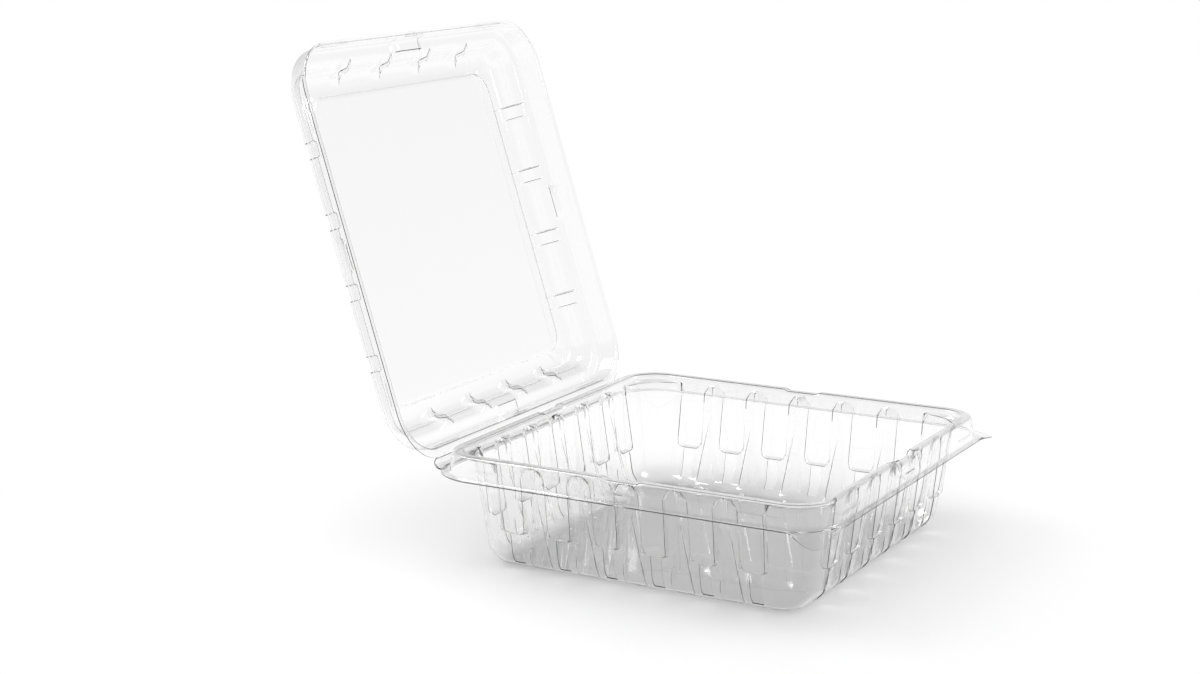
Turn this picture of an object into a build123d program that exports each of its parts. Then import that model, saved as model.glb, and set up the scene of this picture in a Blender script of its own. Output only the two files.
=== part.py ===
"""Clear thermoformed clamshell pack: a ribbed, vented tray and a shallow lid on a beaded living hinge.

The tray stands on Z = 0 with its rim centred on the origin. +X runs from the hinge to the opening side,
+Y runs along the hinge. The lid is modelled shut, over the tray, and then swung open about the hinge.
"""

from build123d import *
from math import atan, atan2, cos, degrees, radians, sin, tan
import os

# Sheet and running clearances
SHEET = 0.4
GAP = 0.35

# Rim, shared by the tray and the lid
LEDGE_X = 184.0
LEDGE_Y = 190.0
LEDGE_WIDTH = 5.0
RIM_CORNER = 19.0
SKIRT_DROP = 10.2
SKIRT_FLARE = 1.2
LIP_WIDTH = 3.0

# Tub of the tray
RIM_HEIGHT = 52.5
WALL_STEP = 0.6
WALL_DRAFT = 9.0
TUB_CORNER = 14.0
BOTTOM_BEND = 10.5
BEND_STEPS = 2

# Ribs along each wall, with flutes between them
RIBS = 6
RIB_MARGIN = 22.4
FLUTE_DROP = 11.5
FLUTE_WIDTH = 11.6
FLUTE_DEPTH = 3.0
FLUTE_APEX = 0.8

# Bosses at the heads of the ribs, joined by a band under the ledge
BAND_HEIGHT = 2.8
BOSS_BOTTOM = 18.4
BOSS_WIDTH = 12.0
BOSS_DRAFT = 6.2
BOSS_ROOT = 6.0
SHOULDER = 3.0
BOSS_CORNER = 1.5
VENT_WIDTH = 5.2
VENT_BOTTOM = 3.4

# Latch and guide recesses across the ledge
LATCH_WIDTH = 22.0
LATCH_DEPTH = 2.2
GUIDE_WIDTH = 17.0
GUIDE_DEPTH = 0.9

# Snap ridges on the skirts
SNAP_PROUD = 0.5
SNAP_HEIGHT = 2.2
SNAP_DROP = 6.0
MIDDLE_SNAP = 11.0
CORNER_SNAP = 18.0

# Pull tabs at the opening corners
TAB_CORNER = 2.5
TAB_TIP = 5.0
TAB_LEG = 15.5
NEAR_TAB_FOLD = 62.0
FAR_TAB_FOLD = 14.0
HINGE_LIP_CORNER = 23.0

# Lid lip, which stops short of the tabs and leaves a narrow edge round the opening side
LID_LIP_CUT = 15.0
LID_EDGE = 0.6

# Lid dome
DOME_CHAMFER = 3.0
CHAMFER_ANGLE = 45.0
DOME_RISE = 9.8
DOME_DRAFT = 12.0
DOME_BEND = 4.6
PANEL_INSET = 19.5
PANEL_SINK = 0.9
PANEL_CORNER = 11.0
NOTCHES = 4
NOTCH_PITCH = 33.0
NOTCH_WIDTH = 6.6
NOTCH_DEPTH = 1.9

# Living hinge
HINGE_OFFSET = 8.3
BEAD_RADIUS = 3.4
BEAD_END_INSET = 10.0
TRAY_BEAD_SPAN = 157.0
LID_BEAD_SPAN = 190.0
OPEN_ANGLE = 108.0

# Values that follow from the sizes above
LIP_LEVEL = RIM_HEIGHT - SKIRT_DROP
LID_LEDGE = RIM_HEIGHT + GAP
LID_LIP_LEVEL = LIP_LEVEL + SHEET + GAP
DOME_TOP = LID_LEDGE + SHEET + DOME_RISE
HINGE_X = -(LEDGE_X / 2 + HINGE_OFFSET)
HINGE_Z = LIP_LEVEL + SHEET + GAP / 2
BEAD_LENGTH = LEDGE_Y - 2 * BEAD_END_INSET
SKIRT_ANGLE = degrees(atan(SKIRT_FLARE / SKIRT_DROP))
LID_BEAD_RADIUS = BEAD_RADIUS - SHEET - GAP
REACH = 30.0
OVERCUT = 1.0
SIDES = (0, 90, 180, 270)
OPENING_SIDE = 0


def side_half(turn):
    """Half of the ledge's size across the side that faces the given way."""
    return LEDGE_X / 2 if turn in (0, 180) else LEDGE_Y / 2


def side_length(turn):
    """Ledge's size along the side that faces the given way."""
    return 2 * side_half(turn + 90 if turn < 180 else turn - 90)


def rib_pitch(turn):
    """Rib spacing along the side that faces the given way."""
    return (side_length(turn) - 2 * RIB_MARGIN) / RIBS


def on_side(shape, turn, along=0.0):
    """Place a shape that was drawn facing +X, with its X from the ledge's edge, on one side."""
    return Rot(0, 0, turn) * Pos(side_half(turn), along, 0) * shape


def spaced(count, pitch):
    """Evenly spaced places about the middle of a side."""
    return [(i - (count - 1) / 2) * pitch for i in range(count)]


def rounded_block(inset, corner, start, end, draft=0.0):
    """Block inside the ledge's edge with rounded upright corners, narrowing from its start level."""
    outline = RectangleRounded(LEDGE_X - 2 * inset, LEDGE_Y - 2 * inset, corner)
    block = extrude(outline, amount=abs(end - start), taper=draft)
    if end < start:
        block = Rot(180, 0, 0) * block
    return Pos(0, 0, start) * block


def bent_block(inset, corner, start, end, draft, bend):
    """Drafted block whose narrow end is bent inwards, in equal turns round the bend's radius."""
    turn = (90 - draft) / (BEND_STEPS + 1)
    facet = 2 * bend * tan(radians(turn / 2))
    angles = [draft + (i + 1) * turn for i in range(BEND_STEPS)]
    rises = [facet * cos(radians(angle)) for angle in angles]
    direction = 1 if end > start else -1
    level = end - direction * sum(rises)
    block = rounded_block(inset, corner, start, level, draft)
    shrink = abs(level - start) * slope(draft)
    for angle, rise in zip(angles, rises):
        above = level + direction * rise
        block += rounded_block(inset + shrink, corner - shrink, level, above, angle)
        shrink += rise * slope(angle)
        level = above
    return block


def slope(angle):
    """Sideways travel for each millimetre of height on a drafted wall."""
    return tan(radians(angle))


def wall_inset(level):
    """How far the tub's outer wall stands in from the ledge's edge at a level."""
    return LEDGE_WIDTH + WALL_STEP + (RIM_HEIGHT - level) * slope(WALL_DRAFT)


def boss_inset(level):
    """How far the boss faces stand in from the ledge's edge at a level."""
    return LEDGE_WIDTH + (RIM_HEIGHT - level) * slope(BOSS_DRAFT)


def tilted_plane(inset, angle):
    """Plane on a drafted wall, facing out of the side that faces +X, with its own Y upwards."""
    tilt = radians(angle)
    return Plane(origin=(-inset, 0, 0), x_dir=(0, 1, 0), z_dir=(cos(tilt), 0, -sin(tilt)))


def tub_body(grow, low):
    """Tapered tub with a bent bottom edge."""
    inset = wall_inset(RIM_HEIGHT) - grow
    corner = TUB_CORNER + (RIM_HEIGHT - low) * slope(WALL_DRAFT) + grow
    return bent_block(inset, corner, RIM_HEIGHT, low, WALL_DRAFT, BOTTOM_BEND + grow)


def flute(grow):
    """Upright V-shaped hollow between two ribs, deepest at the floor."""
    top = RIM_HEIGHT - FLUTE_DROP
    deep = wall_inset(0) + FLUTE_DEPTH
    angle = degrees(atan2(deep - wall_inset(top), top))
    height = top / cos(radians(angle))
    foot = FLUTE_WIDTH / 2 - grow
    head = FLUTE_APEX / 2 - grow
    outline = Polygon((-foot, 0), (foot, 0), (head, height), (-head, height), align=None)
    return extrude(tilted_plane(deep - grow, angle) * outline, amount=REACH)


def boss_comb(grow, turn):
    """Bosses at the heads of the ribs of one side, hanging from the band under the ledge."""
    pitch = rib_pitch(turn)
    stretch = 1 / cos(radians(BOSS_DRAFT))
    top = (RIM_HEIGHT - BAND_HEIGHT / 2) * stretch
    band = (RIM_HEIGHT - BAND_HEIGHT - grow) * stretch
    bottom = (BOSS_BOTTOM - grow) * stretch
    width = BOSS_WIDTH + 2 * grow
    shoulder = SHOULDER - grow
    length = (RIBS - 1) * pitch + width + 3 * shoulder
    outline = Pos(0, (band + top) / 2) * Rectangle(length, top - band)
    tooth = Pos(0, (bottom + top) / 2) * Rectangle(width, top - bottom)
    outline += [Pos(at, 0) * tooth for at in spaced(RIBS, pitch)]
    heads = outline.vertices().group_by(Axis.Y)[1].sort_by(Axis.X)[1:-1]
    outline = chamfer(heads, shoulder)
    outline = chamfer(outline.vertices().group_by(Axis.Y)[0], BOSS_CORNER + grow)
    face = tilted_plane(boss_inset(0) - grow, BOSS_DRAFT)
    return on_side(extrude(face * outline, amount=-BOSS_ROOT), turn)


def vent():
    """Slot through the rib below its boss."""
    height = BOSS_BOTTOM - 2 * SHEET - VENT_BOTTOM
    return Pos(-REACH / 2, 0, VENT_BOTTOM + height / 2) * Box(REACH, VENT_WIDTH, height)


def tub_form(grow, low):
    """Outside or inside of the whole ribbed tub."""
    flutes = []
    combs = []
    for turn in SIDES:
        flutes += [on_side(flute(grow), turn, at) for at in spaced(RIBS - 1, rib_pitch(turn))]
        combs.append(boss_comb(grow, turn))
    inset = LEDGE_WIDTH - grow
    foot = RIM_HEIGHT - BAND_HEIGHT - grow
    band = rounded_block(inset, RIM_CORNER - inset, RIM_HEIGHT, foot, BOSS_DRAFT)
    return tub_body(grow, low).cut(*flutes).fuse(band, *combs)


def skirt_block(grow, low, high):
    """Solid inside the flared skirt."""
    flare = SKIRT_FLARE * (RIM_HEIGHT - low) / SKIRT_DROP
    return rounded_block(-flare - grow, RIM_CORNER + flare + grow, low, high, SKIRT_ANGLE)


def snap_ridge(grow, length):
    """Low ridge along the skirt, with a straight slope above and below its crest."""
    level = RIM_HEIGHT - SNAP_DROP
    surface = SKIRT_FLARE * SNAP_DROP / SKIRT_DROP + grow
    crest = (surface + SNAP_PROUD, level)
    head = (surface - SNAP_PROUD, level + SNAP_HEIGHT)
    foot = (surface - SNAP_PROUD, level - SNAP_HEIGHT)
    section = Plane.XZ * Polygon(crest, head, foot, align=None)
    return extrude(section, amount=length / 2 + grow, both=True)


def skirt_with_snaps(grow, low, high):
    """Solid inside the flared skirt and its snap ridges."""
    ridges = []
    for turn in SIDES:
        ridges.append(on_side(snap_ridge(grow, MIDDLE_SNAP), turn))
        end = side_length(turn) / 2 - RIM_CORNER - CORNER_SNAP / 2
        ridges += [on_side(snap_ridge(grow, CORNER_SNAP), turn, at) for at in (-end, end)]
    return skirt_block(grow, low, high).fuse(*ridges)


def lip_plate(level, bead_radius, cut, near_corner):
    """Flat lip out to the hinge bead, round at the hinge and cut short of the opening side."""
    left = HINGE_X + bead_radius - SHEET / 2
    right = LEDGE_X / 2 + SKIRT_FLARE + LIP_WIDTH - cut
    width = LEDGE_Y + 2 * (SKIRT_FLARE + LIP_WIDTH)
    outline = Pos((left + right) / 2, 0) * Rectangle(right - left, width)
    outline = fillet(outline.vertices().group_by(Axis.X)[0], HINGE_LIP_CORNER)
    outline = fillet(outline.vertices().group_by(Axis.X)[-1].sort_by(Axis.Y)[0], near_corner)
    outline = fillet(outline.vertices().group_by(Axis.Y)[-1].sort_by(Axis.X)[-1], TAB_CORNER)
    return extrude(Pos(0, 0, level) * outline, amount=SHEET)


def recess_block(width, low, high, turn):
    """Block across the ledge, from the tub's wall to the skirt, for a latch or a guide."""
    block = Pos(-LEDGE_WIDTH, 0, (low + high) / 2) * Box(2 * LEDGE_WIDTH, width, high - low)
    return on_side(block, turn)


def recess_sizes(turn):
    """Width and depth of the recess at the middle of one side."""
    if turn == OPENING_SIDE:
        return LATCH_WIDTH, LATCH_DEPTH
    return GUIDE_WIDTH, GUIDE_DEPTH


def bead_section(radius, start, span):
    """Part ring of the hinge bead, in the X-Z plane about the hinge axis."""
    outer = CenterArc((0, 0), radius, start, span)
    inner = CenterArc((0, 0), radius - SHEET, start, span)
    ends = [Line(outer @ 0, inner @ 0), Line(outer @ 1, inner @ 1)]
    return make_face([outer, inner, *ends])


def bead(radius, start, span):
    """Length of hinge bead on the hinge axis."""
    section = Plane.XZ * bead_section(radius, start, span)
    return Pos(HINGE_X, 0, HINGE_Z) * extrude(section, amount=BEAD_LENGTH / 2, both=True)


def folded_tab(lip, end, angle):
    """Turn one opening corner of the lip down into a tab, at the near (-1) or far (1) end."""
    corner_x = LEDGE_X / 2 + SKIRT_FLARE + LIP_WIDTH
    corner_y = end * (LEDGE_Y / 2 + SKIRT_FLARE + LIP_WIDTH)
    fold = Vector(corner_x - TAB_LEG / 2, corner_y - end * TAB_LEG / 2, LIP_LEVEL + SHEET / 2)
    place = Pos(*fold) * Rot(0, 0, 45 * end)
    beyond = place * Pos(REACH / 2, 0, 0) * Box(REACH, 2 * REACH, 4 * SHEET)
    overlap = place * Pos((REACH - SHEET) / 2, 0, 0) * Box(REACH, 2 * REACH, 4 * SHEET)
    tab = (lip & overlap).rotate(Axis(fold, (-end, 1, 0)), angle)
    return lip - beyond + tab


def make_tray():
    """Tub, rim, lip, vents and the outer half of the hinge bead in one sheet."""
    rim = skirt_with_snaps(0, LIP_LEVEL, RIM_HEIGHT)
    hollow = skirt_with_snaps(-SHEET, LIP_LEVEL - OVERCUT, RIM_HEIGHT - SHEET)
    lip = lip_plate(LIP_LEVEL, BEAD_RADIUS, 0, TAB_TIP)
    lip -= skirt_block(-SHEET, LIP_LEVEL - OVERCUT, RIM_HEIGHT)
    lip = folded_tab(lip, -1, NEAR_TAB_FOLD)
    lip = folded_tab(lip, 1, FAR_TAB_FOLD)
    shell = rim - hollow + lip
    shell += tub_form(0, 0)
    for turn in SIDES:
        width, depth = recess_sizes(turn)
        floor = RIM_HEIGHT - depth
        shell += recess_block(width + 2 * SHEET, floor - SHEET, RIM_HEIGHT, turn) & rim
        shell -= recess_block(width, floor, RIM_HEIGHT + OVERCUT, turn)
    shell -= tub_form(-SHEET, SHEET)
    vents = []
    for turn in SIDES:
        vents += [on_side(vent(), turn, at) for at in spaced(RIBS, rib_pitch(turn))]
    shell = shell.cut(*vents)
    lip_angle = degrees(atan2(GAP / 2 + SHEET / 2, BEAD_RADIUS))
    return shell + bead(BEAD_RADIUS, -lip_angle, -TRAY_BEAD_SPAN)


def dome_body(grow, inset, foot):
    """Lid dome with a chamfer above the ledge, a steep wall and a bent top edge."""
    level = LID_LEDGE + SHEET
    bend = level + DOME_CHAMFER
    inset = inset - grow
    corner = RIM_CORNER - inset
    stem = rounded_block(inset, corner, foot, level)
    foot_slope = rounded_block(inset, corner, level, bend, CHAMFER_ANGLE)
    inset += DOME_CHAMFER * slope(CHAMFER_ANGLE)
    corner = RIM_CORNER - inset
    wall = bent_block(inset, corner, bend, DOME_TOP + grow, DOME_DRAFT, DOME_BEND + grow)
    return stem + foot_slope + wall


def dome_form(grow, foot):
    """Outside or inside of the notched lid dome with its sunk panel."""
    full = dome_body(grow, LEDGE_WIDTH, foot)
    core = dome_body(grow, LEDGE_WIDTH + NOTCH_DEPTH, foot)
    cuts = []
    for turn in SIDES:
        height = 2 * DOME_RISE
        block = Box(REACH, NOTCH_WIDTH - 2 * grow, height)
        block = Pos(0, 0, LID_LEDGE + SHEET + grow + height / 2) * block
        cuts += [on_side(block, turn, at) for at in spaced(NOTCHES, NOTCH_PITCH)]
    notches = cuts[0].fuse(*cuts[1:]) - core
    top = DOME_TOP + OVERCUT
    bottom = DOME_TOP - PANEL_SINK + grow
    panel = rounded_block(PANEL_INSET + grow, PANEL_CORNER - grow, top, bottom)
    return full - notches - panel


def make_lid():
    """Lid skirt, ledge, lip, dome and the inner half of the hinge bead in one sheet, swung open."""
    rim = skirt_with_snaps(GAP + SHEET, LID_LIP_LEVEL, LID_LEDGE + SHEET)
    hollow = skirt_with_snaps(GAP, LIP_LEVEL - OVERCUT, LID_LEDGE)
    lip = lip_plate(LID_LIP_LEVEL, LID_BEAD_RADIUS, LID_LIP_CUT, TAB_CORNER)
    lip += skirt_block(GAP + SHEET + LID_EDGE, LID_LIP_LEVEL, LID_LIP_LEVEL + SHEET)
    shell = rim - hollow + (lip - skirt_block(GAP, LIP_LEVEL - OVERCUT, LID_LEDGE))
    shell += dome_form(0, LID_LEDGE)
    solid_dome = dome_body(0, LEDGE_WIDTH, LIP_LEVEL)
    for turn in SIDES:
        width, depth = recess_sizes(turn)
        width -= 2 * GAP
        floor = LID_LEDGE - depth
        shell += recess_block(width, floor, LID_LEDGE + SHEET, turn) & rim
        top = LID_LEDGE + SHEET + OVERCUT
        shell -= recess_block(width - 2 * SHEET, floor + SHEET, top, turn) - solid_dome
    shell -= dome_form(-SHEET, LIP_LEVEL)
    lip_angle = degrees(atan2(GAP / 2 + SHEET / 2, LID_BEAD_RADIUS))
    shell += bead(LID_BEAD_RADIUS, lip_angle, LID_BEAD_SPAN)
    return shell.rotate(Axis((HINGE_X, 0, HINGE_Z), (0, 1, 0)), -OPEN_ANGLE)


os.makedirs("parts", exist_ok=True)
for name, make in (("tray", make_tray), ("lid", make_lid)):
    piece = make()
    print(name, round(piece.volume), "cubic mm in", len(piece.solids()), "solid")
    export_step(piece, f"parts/{name}.step")
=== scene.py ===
"""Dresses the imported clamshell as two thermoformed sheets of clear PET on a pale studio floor."""

import logging
import math
from dataclasses import dataclass
from enum import Enum

import bmesh
import bpy
from mathutils import Matrix, Vector


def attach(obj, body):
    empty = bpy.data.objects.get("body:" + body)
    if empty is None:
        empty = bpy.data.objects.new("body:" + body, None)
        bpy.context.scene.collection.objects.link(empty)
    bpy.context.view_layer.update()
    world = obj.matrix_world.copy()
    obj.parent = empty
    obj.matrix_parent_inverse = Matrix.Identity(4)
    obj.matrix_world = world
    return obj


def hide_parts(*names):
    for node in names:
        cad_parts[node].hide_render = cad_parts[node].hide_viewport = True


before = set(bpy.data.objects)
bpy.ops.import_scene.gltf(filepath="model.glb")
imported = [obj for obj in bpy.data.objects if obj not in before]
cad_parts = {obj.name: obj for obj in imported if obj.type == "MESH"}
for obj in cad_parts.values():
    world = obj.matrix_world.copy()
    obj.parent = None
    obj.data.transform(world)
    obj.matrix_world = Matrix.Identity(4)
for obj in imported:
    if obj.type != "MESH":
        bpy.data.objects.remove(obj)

log = logging.getLogger("clamshell")

# One millimetre in the scene's metres.
MM = 0.001
# Vertices of a formed sheet that are closer than this, in millimetres, are one.
WELD = 1e-4
# Shares of the way across a step in a wall at which its three rows lie.
STEP = (0.0, 0.5, 1.0)
WHITE = (1.0, 1.0, 1.0, 1.0)

Shares = tuple[float, ...]
Pairs = tuple[tuple[float, float], ...]


def linear(code: str) -> tuple[float, float, float, float]:
    """Turn an sRGB hex colour into Blender's linear one.

    Args:
        code: Six hex digits.

    Returns:
        Linear red, green and blue, and an alpha of 1.
    """
    parts = [int(code[i : i + 2], 16) / 255 for i in (0, 2, 4)]
    low = [p / 12.92 if p <= 0.04045 else ((p + 0.055) / 1.055) ** 2.4 for p in parts]
    return (*low, 1.0)


def add_node(
    tree: bpy.types.NodeTree,
    kind: str,
    settings: dict[str, object] | None = None,
    links: dict[object, bpy.types.NodeSocket] | None = None,
) -> bpy.types.Node:
    """Add a shader node with its settings and its links.

    Args:
        tree: Node tree that gets the node.
        kind: Blender's type name of the node.
        settings: Input values by input name, or attributes by name.
        links: Sockets that feed the inputs, by input name or number.

    Returns:
        The new node.
    """
    made = tree.nodes.new(kind)
    for name, value in (settings or {}).items():
        if name in made.inputs:
            made.inputs[name].default_value = value
        else:
            setattr(made, name, value)
    for name, source in (links or {}).items():
        tree.links.new(source, made.inputs[name])
    return made


def empty_tree(holder: bpy.types.Material | bpy.types.World) -> bpy.types.NodeTree:
    """Turn on the nodes of a material or world, and clear them.

    Args:
        holder: The material or world.

    Returns:
        Its empty node tree.
    """
    holder.use_nodes = True
    holder.node_tree.nodes.clear()
    return holder.node_tree


def add_object(name: str, data: bpy.types.ID) -> bpy.types.Object:
    """Add an object for a mesh, lamp or camera to the scene, at the origin.

    Args:
        name: Name of the object.
        data: Its mesh, lamp or camera.

    Returns:
        The object.
    """
    made = bpy.data.objects.new(name, data)
    bpy.context.scene.collection.objects.link(made)
    return made


def clamp(value: float) -> float:
    """Keep a share between 0 and 1."""
    return min(1.0, max(0.0, value))


def smooth(value: float, low: float, high: float) -> float:
    """Ease from 0 at low to 1 at high.

    Args:
        value: Place to read.
        low: Place where the step starts.
        high: Place where the step ends.

    Returns:
        Height of the step, from 0 to 1.
    """
    t = clamp((value - low) / (high - low))
    return t * t * (3 - 2 * t)


def lean(angle: float) -> float:
    """Give the sideways travel for each millimetre of height at a draft angle in degrees."""
    return math.tan(math.radians(angle))


def mirrored(offsets: Shares) -> Shares:
    """Repeat rising offsets on the other side of 0."""
    return tuple(-o for o in reversed(offsets) if o > 0) + offsets


class Spot(Enum):
    """What a column of the sheet runs through."""

    BOSS = "boss"
    PANEL = "panel"
    PLAIN = "plain"
    CORNER = "corner"


class Zone(Enum):
    """Part of the sheet's profile that a row belongs to."""

    FLOOR = "floor"
    WALL = "wall"
    SHELF = "shelf"
    BOSS = "boss"
    BAND_FOOT = "band foot"
    BAND = "band"
    PANEL = "panel"
    DOME = "dome"
    LEDGE = "ledge"
    SKIRT = "skirt"
    LIP = "lip"


@dataclass(frozen=True)
class Column:
    """One upright line of the sheet, at a place round its rim.

    Attributes:
        side: Side it belongs to, 0 at the opening side and then anticlockwise.
        spot: What it runs through. A notch of the lid counts as a boss.
        along: Distance along the side, of the middle of a flute for its columns, or the share of
            the way round a corner.
        offset: Distance from its boss's or notch's middle, or the side of its flute's middle.
        order: Place of a flute's column between the boss beside it and the flute's middle.
    """

    side: int
    spot: Spot
    along: float
    offset: float = 0.0
    order: int = 0


@dataclass(frozen=True)
class Row:
    """One line round the sheet.

    Attributes:
        inset: Distance in from the ledge's edge, and 0 on a wall that its draft places. On a
            shelf, the band's foot and the lip it is the share of the way across.
        level: Height.
        centre_sum: Inset and corner radius added up, which places the corners' middles.
        zone: Part of the profile that it belongs to.
        scale: Share of the size in plan that a ring on the flat floor or panel keeps.
    """

    inset: float
    level: float
    centre_sum: float
    zone: Zone
    scale: float = 1.0


@dataclass(frozen=True)
class Plan:
    """Plan of the rim, which both sheets follow.

    Attributes:
        half_x: Half of the ledge's size from the hinge to the opening side.
        half_y: Half of the ledge's size along the hinge.
        corner: Radius of the ledge's corners.
        corner_share: Share of a corner's columns that lie on its arc.
    """

    half_x: float = 92.0
    half_y: float = 95.0
    corner: float = 19.0
    corner_share: float = 0.6

    def half(self, side: int) -> float:
        """Half of the ledge's size across a side."""
        return self.half_x if side % 2 == 0 else self.half_y

    def axes(self, side: int) -> tuple[Vector, Vector]:
        """Outward and forward directions of a side."""
        outward = ((1, 0), (0, 1), (-1, 0), (0, -1))[side % 4]
        return Vector(outward), Vector((-outward[1], outward[0]))

    def on_side(self, side: int, along: float, inset: float) -> Vector:
        """Point on a side's straight run.

        Args:
            side: Number of the side.
            along: Distance along it from its middle.
            inset: Distance in from the ledge's edge.

        Returns:
            Plan position in millimetres.
        """
        outward, forward = self.axes(side)
        return outward * (self.half(side) - inset) + forward * along

    def on_corner(
        self, side: int, share: float, inset: float, radius: float, ends: tuple[float, float]
    ) -> Vector:
        """Point on the corner after a side, at a share of the way round it.

        Args:
            side: Number of the side before the corner.
            share: Share of the way, from 0 to 1.
            inset: Distance in from the ledge's edge.
            radius: Radius of the corner there.
            ends: Where the corner's run starts on this side and ends on the next.

        Returns:
            Plan position in millimetres.
        """
        outward, forward = self.axes(side)
        reach, width = self.half(side) - inset, self.half(side + 1) - inset
        first = max(0.0, width - radius - ends[0])
        last = max(0.0, reach - radius - ends[1])
        bend = self.corner_share
        if share <= (1 - bend) / 2:
            return outward * reach + forward * (ends[0] + first * 2 * share / (1 - bend))
        if share >= (1 + bend) / 2:
            back = last * (2 * share - 1 - bend) / (1 - bend)
            return outward * (reach - radius - back) + forward * width
        angle = math.pi / 2 * (share - (1 - bend) / 2) / bend
        u = reach - radius + radius * math.cos(angle)
        v = width - radius + radius * math.sin(angle)
        return outward * u + forward * v


@dataclass
class FormedSheet:
    """A sheet formed over a mould: columns round the rim, rows down the profile.

    Sizes are in millimetres and degrees, and start from those of the solid that it replaces.
    """

    plan: Plan
    sheet: float = 0.4
    corner_columns: int = 22
    sharp_angle: float = 50.0

    # Rim: the skirt hangs from the tray's ledge and flares over its drop. The pairs are a
    # distance in and a level on the ledge's bend and on the skirt's foot.
    rim: float = 52.5
    skirt: float = 10.2
    flare: float = 1.2
    skirt_gap: float = 0.0
    rim_bend: Pairs = ()
    skirt_levels: Shares = ()
    foot_bend: Pairs = ()
    lip_shares: Shares = (1.0,)
    lip_reach: float = 4.2

    # Snap ridges: one in the middle of each side and one by each end of it.
    snap_level: float = 46.5
    snap_reach: float = 1.1
    snap_height: float = 0.5
    snap_ease: float = 0.8
    snap_middle: float = 5.5
    snap_end: float = 9.0
    snap_side: float = 1.0

    # Recesses: half length and depth of the latch's on the opening side, and of the others.
    latch: tuple[float, float] = (11.0, 2.2)
    guide: tuple[float, float] = (8.5, 0.9)
    recess_ease: tuple[float, float] = (0.6, 0.9)
    recess_foot: float = 46.0
    recess_run: float = 5.0

    # Hinge: the bead is rolled from the lip's edge round the axis.
    hinge_x: float = -100.3
    hinge_z: float = 42.875
    hinge_corner: float = 23.0
    hinge_run: float = 14.0
    bead: float = 3.0
    bead_half: float = 85.0
    bead_turn: float = -157.0
    bead_steps: int = 16
    bead_slack: float = 0.2
    bead_end_slack: float = 1.0

    def columns(self) -> list[Column]:
        """List the columns once round the rim, from the opening side."""
        raise NotImplementedError

    def rows(self) -> list[Row]:
        """List the rows from the middle of the floor or panel out to the lip."""
        raise NotImplementedError

    def place(self, column: Column, row: Row) -> Vector:
        """Position of the sheet at a column and a row."""
        raise NotImplementedError

    def side_end(self, side: int) -> float:
        """Distance along a side where its corners' columns start."""
        raise NotImplementedError

    def foot_levels(self) -> tuple[float, float]:
        """Levels at which the skirt ends and the lip lies."""
        raise NotImplementedError

    def cut_away(self, low: Column, high: Column, row: Row, following: Row) -> bool:
        """Tell whether the cell between two columns and two rows is punched out."""
        return False

    def plan_point(self, column: Column, along: float, inset: float, radius: float) -> Vector:
        """Plan position of a column at an inset.

        Args:
            column: The column.
            along: Distance along its side, which a corner's column doesn't use.
            inset: Distance in from the ledge's edge.
            radius: Radius of the corners at that inset.

        Returns:
            Plan position in millimetres.
        """
        if column.spot is Spot.CORNER:
            ends = (self.side_end(column.side), self.side_end(column.side + 1))
            return self.plan.on_corner(column.side, column.along, inset, radius, ends)
        return self.plan.on_side(column.side, along, inset)

    def corner_list(self, side: int) -> list[Column]:
        """List the columns of the corner after a side, without its two ends."""
        steps = self.corner_columns
        return [Column(side, Spot.CORNER, i / steps) for i in range(1, steps)]

    def skirt_at(self, level: float) -> float:
        """Inset of the skirt's outer face at a level, below 0 where it stands out."""
        return -self.skirt_gap - self.flare * (self.rim - level) / self.skirt

    def foot_inset(self, out: float) -> float:
        """Inset of a point of the skirt's foot, at a distance from the skirt's end."""
        return self.skirt_at(self.foot_levels()[0]) + out

    def rim_rows(self) -> list[Row]:
        """List the rows of the ledge and its bend, the skirt, its foot and the lip.

        Returns:
            The rows, from the ledge out.
        """
        corner = self.plan.corner
        lip = self.foot_levels()[1]
        made = [Row(inset, level, corner, Zone.LEDGE) for inset, level in self.rim_bend]
        made += [Row(self.skirt_at(z), z, corner, Zone.SKIRT) for z in self.skirt_levels]
        made += [Row(self.foot_inset(out), z, corner, Zone.SKIRT) for out, z in self.foot_bend]
        made += [Row(share, lip, corner, Zone.LIP) for share in self.lip_shares]
        return made

    def recess(self, column: Column, along: float, level: float) -> float:
        """How far the latch's or a guide's recess lowers the rim.

        Args:
            column: The column.
            along: Distance along the side.
            level: Height before it is lowered.

        Returns:
            Distance down.
        """
        if column.spot is Spot.CORNER:
            return 0.0
        half, depth = self.latch if column.side == 0 else self.guide
        inside, outside = self.recess_ease
        share = 1 - smooth(abs(along), half - inside, half + outside)
        return depth * share * clamp((level - self.recess_foot) / self.recess_run)

    def ridge(self, spot: Vector, level: float) -> float:
        """How far a snap ridge stands out at a place on the skirt.

        Args:
            spot: Plan position on the skirt.
            level: Height.

        Returns:
            Distance outwards.
        """
        height = max(0.0, 1 - abs(level - self.snap_level) / self.snap_reach)
        best = 0.0
        for side in range(4):
            outward, forward = self.plan.axes(side)
            if spot.dot(outward) < self.plan.half(side) - self.snap_side:
                continue
            along = abs(spot.dot(forward))
            far = self.plan.half(side + 1) - self.plan.corner - self.snap_end
            for middle, half in ((0.0, self.snap_middle), (far, self.snap_end)):
                low, high = half - self.snap_ease, half + self.snap_ease
                best = max(best, 1 - smooth(abs(along - middle), low, high))
        return self.snap_height * height * best

    def on_skirt(self, column: Column, row: Row, along: float) -> Vector:
        """Plan position on the skirt, with its snap ridges.

        Args:
            column: The column.
            row: The row.
            along: Distance along the side.

        Returns:
            Plan position in millimetres.
        """
        plain = self.plan_point(column, along, row.inset, row.centre_sum - row.inset)
        inset = row.inset - self.ridge(plain, row.level)
        return self.plan_point(column, along, inset, row.centre_sum - inset)

    def trim(self, column: Column, inner: Vector) -> tuple[float, float]:
        """Inset and corner radius of the lip's trimmed edge."""
        raise NotImplementedError

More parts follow.
